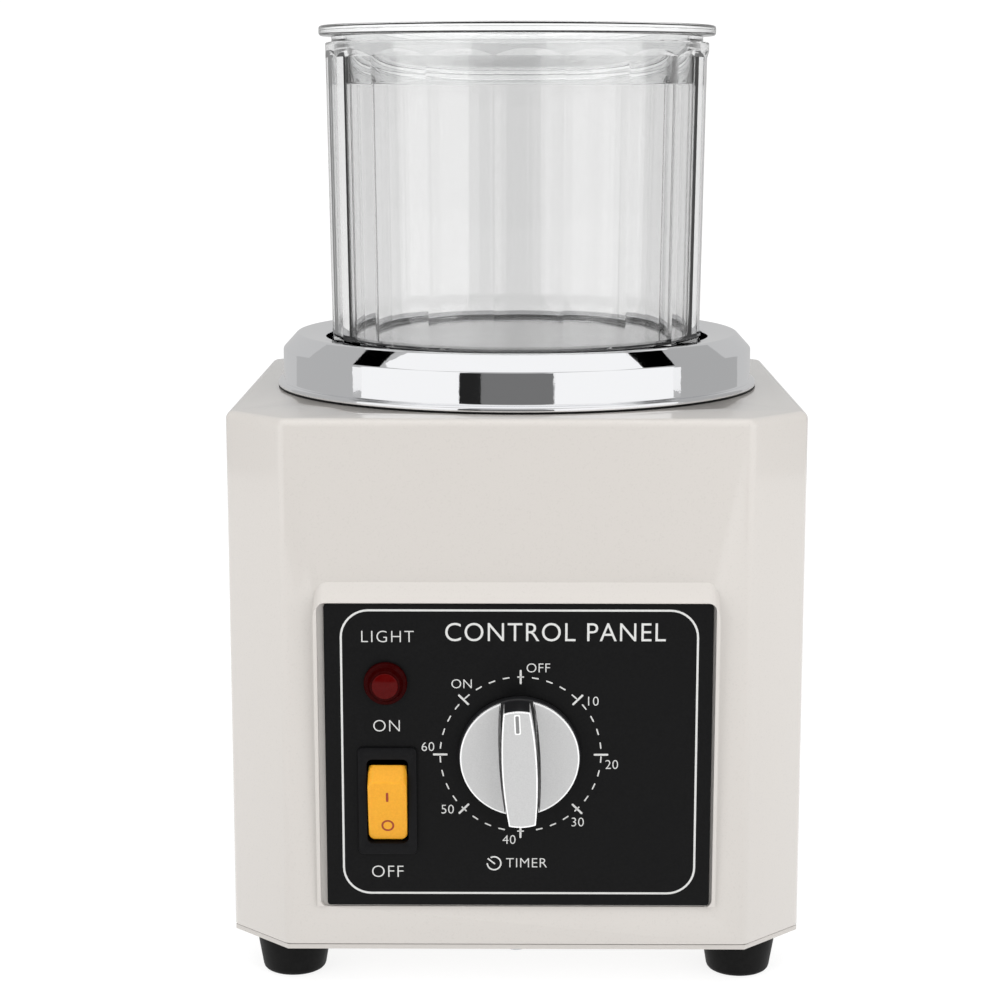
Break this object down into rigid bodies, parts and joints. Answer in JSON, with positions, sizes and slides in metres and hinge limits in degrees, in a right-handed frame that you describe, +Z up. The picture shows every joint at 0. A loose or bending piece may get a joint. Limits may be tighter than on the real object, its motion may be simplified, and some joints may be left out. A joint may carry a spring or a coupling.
{
  "type": "magnetic tumbler",
  "caption": "Bench magnetic tumbler: square enamelled casing with a control panel, chrome ring, clear lidded bowl, and a motor-driven magnet disc inside.",
  "frame": {"origin": "on the plane that the feet stand on, under the axis of the bowl and the motor", "axes": "+X to the right and +Z up, with the control panel facing -Y"},
  "size_m": [0.185, 0.2158, 0.3066],
  "materials": {
    "casing_enamel": "gloss enamel with fine specks",
    "plate_enamel": "satin enamel",
    "foot_rubber": "matt moulded rubber",
    "ring_chrome": "mirror plating",
    "clear_plastic": "clear polished plastic",
    "panel_black": "fine satin black with silver print",
    "black_plastic": "moulded black",
    "rocker_amber": "smooth amber moulding",
    "lamp_red": "clear dark red moulding",
    "knob_silver": "satin spun aluminium with bright edges",
    "zinc_steel": "zinc plated",
    "bare_steel": "ground",
    "core_steel": "stacked laminations",
    "frame_paint": "grey paint",
    "dish_aluminium": "turned",
    "copper_wire": "varnished copper winding",
    "bronze": "sintered bronze",
    "terminal_brass": "tinned brass",
    "magnet_nickel": "nickel plated",
    "white_plastic": "moulded",
    "fuse_glass": "clear glass tube",
    "wire_red": "wire sleeve"
  },
  "bodies": {
    "root": {"casing": "casing_enamel", "base_plate": "plate_enamel", "base_screws": "zinc_steel", "foot_front_left": "foot_rubber", "foot_front_right": "foot_rubber", "foot_rear_left": "foot_rubber", "foot_rear_right": "foot_rubber", "foot_screws": "zinc_steel", "foot_nuts": "zinc_steel", "bowl_ring": "ring_chrome", "ring_screws": "zinc_steel", "seat_dish": "dish_aluminium", "seat_screws": "zinc_steel", "seat_nuts": "zinc_steel", "control_panel": "panel_black", "panel_nuts": "zinc_steel", "switch_housing": "black_plastic", "switch_terminals": "terminal_brass", "lamp_lens": "lamp_red", "lamp_body": "black_plastic", "lamp_nut": "zinc_steel", "lamp_terminals": "terminal_brass", "timer_body": "white_plastic", "timer_screws": "zinc_steel", "timer_terminals": "terminal_brass", "motor_plate": "zinc_steel", "motor_posts": "zinc_steel", "post_screws": "zinc_steel", "plate_screws": "zinc_steel", "motor_frame": "frame_paint", "motor_screws": "zinc_steel", "stator_core": "core_steel", "stator_coils": "copper_wire", "upper_bearing": "bronze", "lower_bearing": "bronze", "cord_gland": "black_plastic", "gland_nut": "black_plastic", "fuse_holder": "black_plastic", "run_capacitor": "white_plastic", "capacitor_clip": "zinc_steel", "terminal_block": "white_plastic", "bracket_screws": "zinc_steel", "earth_screw": "terminal_brass", "wiring": "wire_red"},
    "bowl": {"bowl": "clear_plastic"},
    "lid": {"lid": "clear_plastic"},
    "rotor": {"motor_shaft": "bare_steel", "rotor_core": "core_steel", "cooling_fan": "black_plastic", "fan_screw": "bare_steel", "magnet_disc": "dish_aluminium", "magnets": "magnet_nickel", "disc_screw": "bare_steel"},
    "timer_knob": {"timer_shaft": "bare_steel", "knob_body": "black_plastic", "knob_trim": "knob_silver"},
    "rocker": {"switch_rocker": "rocker_amber"},
    "fuse_carrier": {"fuse_cap": "black_plastic", "fuse": "fuse_glass"}
  },
  "joints": [
    {"name": "bowl_lift", "type": "slide", "parent": "root", "child": "bowl", "axis": [0, 0, 1], "range_m": [0, 0.12]},
    {"name": "lid_lift", "type": "slide", "parent": "bowl", "child": "lid", "axis": [0, 0, 1], "range_m": [0, 0.12]},
    {"name": "rotor_spin", "type": "hinge", "parent": "root", "child": "rotor", "pos_m": [0, 0, 0.12], "axis": [0, 0, 1], "continuous": true},
    {"name": "timer_turn", "type": "hinge", "parent": "root", "child": "timer_knob", "pos_m": [0.00105, -0.09472, 0.0784], "axis": [0, 0.9995, 0.0305], "range_deg": [-42.2, 272.8]},
    {"name": "rocker_tip", "type": "hinge", "parent": "root", "child": "rocker", "pos_m": [-0.04075, -0.08586, 0.06341], "axis": [-1, 0, 0], "range_deg": [0, 27.2]},
    {"name": "fuse_pull", "type": "slide", "parent": "root", "child": "fuse_carrier", "axis": [0, 1, 0], "range_m": [0, 0.04]}
  ]
}
